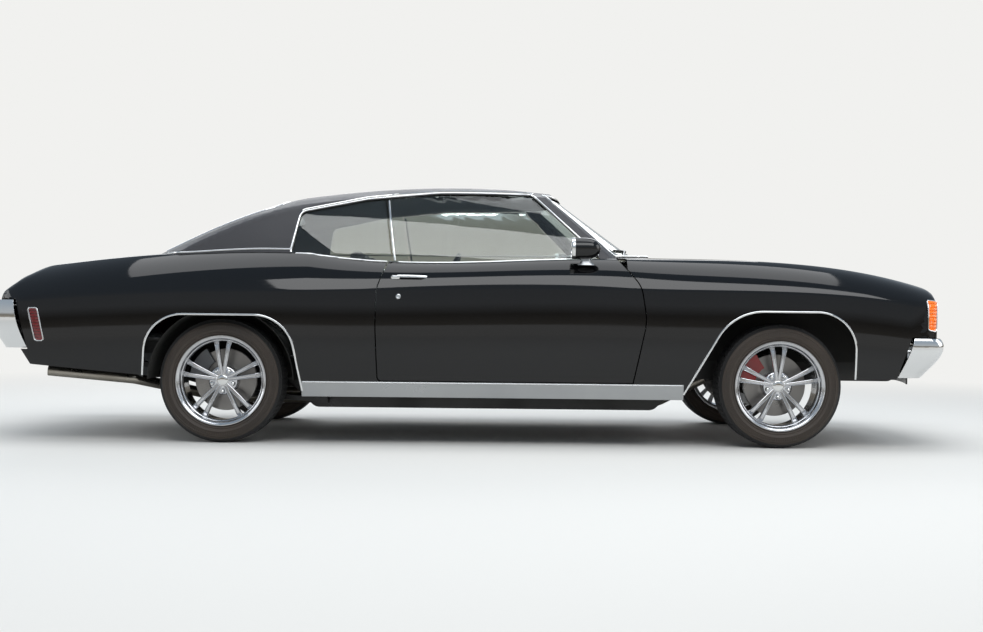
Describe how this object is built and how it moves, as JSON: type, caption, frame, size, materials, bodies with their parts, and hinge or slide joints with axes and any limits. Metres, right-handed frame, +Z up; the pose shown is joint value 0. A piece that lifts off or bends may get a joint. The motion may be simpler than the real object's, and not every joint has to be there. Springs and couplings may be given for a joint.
{
  "type": "two-door muscle car",
  "caption": "Full-size two-door hardtop muscle car with vinyl roof, opening doors, hood and deck lid, hollow cabin, steered front wheels and split-spoke alloy rims.",
  "frame": {"origin": "on the ground under the middle of the overall length and width", "axes": "+X forwards, +Y to the left of the car, +Z up"},
  "size_m": [5.0219, 1.9328, 1.3747],
  "materials": {
    "body_paint": "high gloss black",
    "vinyl_roof": "grained vinyl",
    "chrome": "mirror polish",
    "satin_trim": "satin",
    "window_glass": "clear with a light tint",
    "lamp_glass": "fluted clear",
    "amber_lens": "clear amber",
    "red_lens": "clear red",
    "grille_black": "satin black",
    "chassis_black": "semi gloss black",
    "underbody": "matt undercoat",
    "cabin_plastic": "grained black",
    "seat_vinyl": "dark vinyl",
    "radiator_black": "matt",
    "cast_iron": "painted casting",
    "exhaust_steel": "bright",
    "tank_steel": "dull galvanised",
    "tyre_rubber": "matt black",
    "wheel_alloy": "bright cast alloy"
  },
  "bodies": {
    "body": {"frame": "chassis_black", "floor": "underbody", "wheel_tubs": "underbody", "sills": "satin_trim", "cowl": "body_paint", "deck_bridge": "body_paint", "tail_panel": "body_paint", "fender_left": "body_paint", "fender_right": "body_paint", "quarter_left": "body_paint", "quarter_right": "body_paint", "nose_panel": "body_paint", "grille": "grille_black", "headlamps": "lamp_glass", "corner_lamps": "amber_lens", "side_markers": "red_lens", "tail_lamps": "red_lens", "front_bumper": "chrome", "rear_bumper": "chrome", "front_valance": "body_paint", "rear_valance": "body_paint", "roof": "vinyl_roof", "windscreen": "window_glass", "backlight": "window_glass", "quarter_glass": "window_glass", "dashboard": "cabin_plastic", "steering_column": "cabin_plastic", "front_seats": "seat_vinyl", "rear_seat": "seat_vinyl", "radiator": "radiator_black", "engine": "cast_iron", "rear_axle": "chassis_black", "exhausts": "exhaust_steel", "fuel_tank": "tank_steel"},
    "hood": {"hood": "body_paint"},
    "deck_lid": {"deck_lid": "body_paint"},
    "door_left": {"door_left": "body_paint", "door_glass_left": "window_glass", "door_handle_left": "chrome", "mirror_left": "body_paint"},
    "door_right": {"door_right": "body_paint", "door_glass_right": "window_glass", "door_handle_right": "chrome", "mirror_right": "body_paint"},
    "steering_wheel": {"steering_wheel": "cabin_plastic"},
    "knuckle_left": {"knuckle_left": "chassis_black"},
    "knuckle_right": {"knuckle_right": "chassis_black"},
    "wheel_front_left": {"tyre_front_left": "tyre_rubber", "rim_front_left": "wheel_alloy"},
    "wheel_front_right": {"tyre_front_right": "tyre_rubber", "rim_front_right": "wheel_alloy"},
    "wheel_rear_left": {"tyre_rear_left": "tyre_rubber", "rim_rear_left": "wheel_alloy"},
    "wheel_rear_right": {"tyre_rear_right": "tyre_rubber", "rim_rear_right": "wheel_alloy"}
  },
  "joints": [
    {"name": "steer_left", "type": "hinge", "parent": "body", "child": "knuckle_left", "pos_m": [1.5555, 0.684, 0.316], "axis": [0, 0, 1], "range_deg": [-32, 32]},
    {"name": "steer_right", "type": "hinge", "parent": "body", "child": "knuckle_right", "pos_m": [1.5555, -0.684, 0.316], "axis": [0, 0, 1], "range_deg": [-32, 32]},
    {"name": "steering_wheel_turn", "type": "hinge", "parent": "body", "child": "steering_wheel", "pos_m": [-0.19, 0.4, 0.85], "axis": [-0.9135, 0, 0.4067], "range_deg": [-520, 520]},
    {"name": "roll_front_left", "type": "hinge", "parent": "knuckle_left", "child": "wheel_front_left", "pos_m": [1.5555, 0.775, 0.316], "axis": [0, 1, 0], "continuous": true},
    {"name": "roll_front_right", "type": "hinge", "parent": "knuckle_right", "child": "wheel_front_right", "pos_m": [1.5555, -0.775, 0.316], "axis": [0, 1, 0], "continuous": true},
    {"name": "roll_rear_left", "type": "hinge", "parent": "body", "child": "wheel_rear_left", "pos_m": [-1.2895, 0.775, 0.316], "axis": [0, 1, 0], "continuous": true},
    {"name": "roll_rear_right", "type": "hinge", "parent": "body", "child": "wheel_rear_right", "pos_m": [-1.2895, -0.775, 0.316], "axis": [0, 1, 0], "continuous": true},
    {"name": "door_right_swing", "type": "hinge", "parent": "body", "child": "door_right", "pos_m": [0.812, -0.936, 0.6], "axis": [0, 0, 1], "range_deg": [0, 65]},
    {"name": "door_left_swing", "type": "hinge", "parent": "body", "child": "door_left", "pos_m": [0.812, 0.936, 0.6], "axis": [0, 0, -1], "range_deg": [0, 65]},
    {"name": "hood_lift", "type": "hinge", "parent": "body", "child": "hood", "pos_m": [0.85, 0, 0.945], "axis": [0, -1, 0], "range_deg": [0, 50]},
    {"name": "deck_lift", "type": "hinge", "parent": "body", "child": "deck_lid", "pos_m": [-1.9, 0, 0.912], "axis": [0, 1, 0], "range_deg": [0, 62]}
  ],
  "couplings": [
    {"joint": "steer_right", "follows": "steer_left", "ratio": 1},
    {"joint": "steering_wheel_turn", "follows": "steer_left", "ratio": 16}
  ]
}
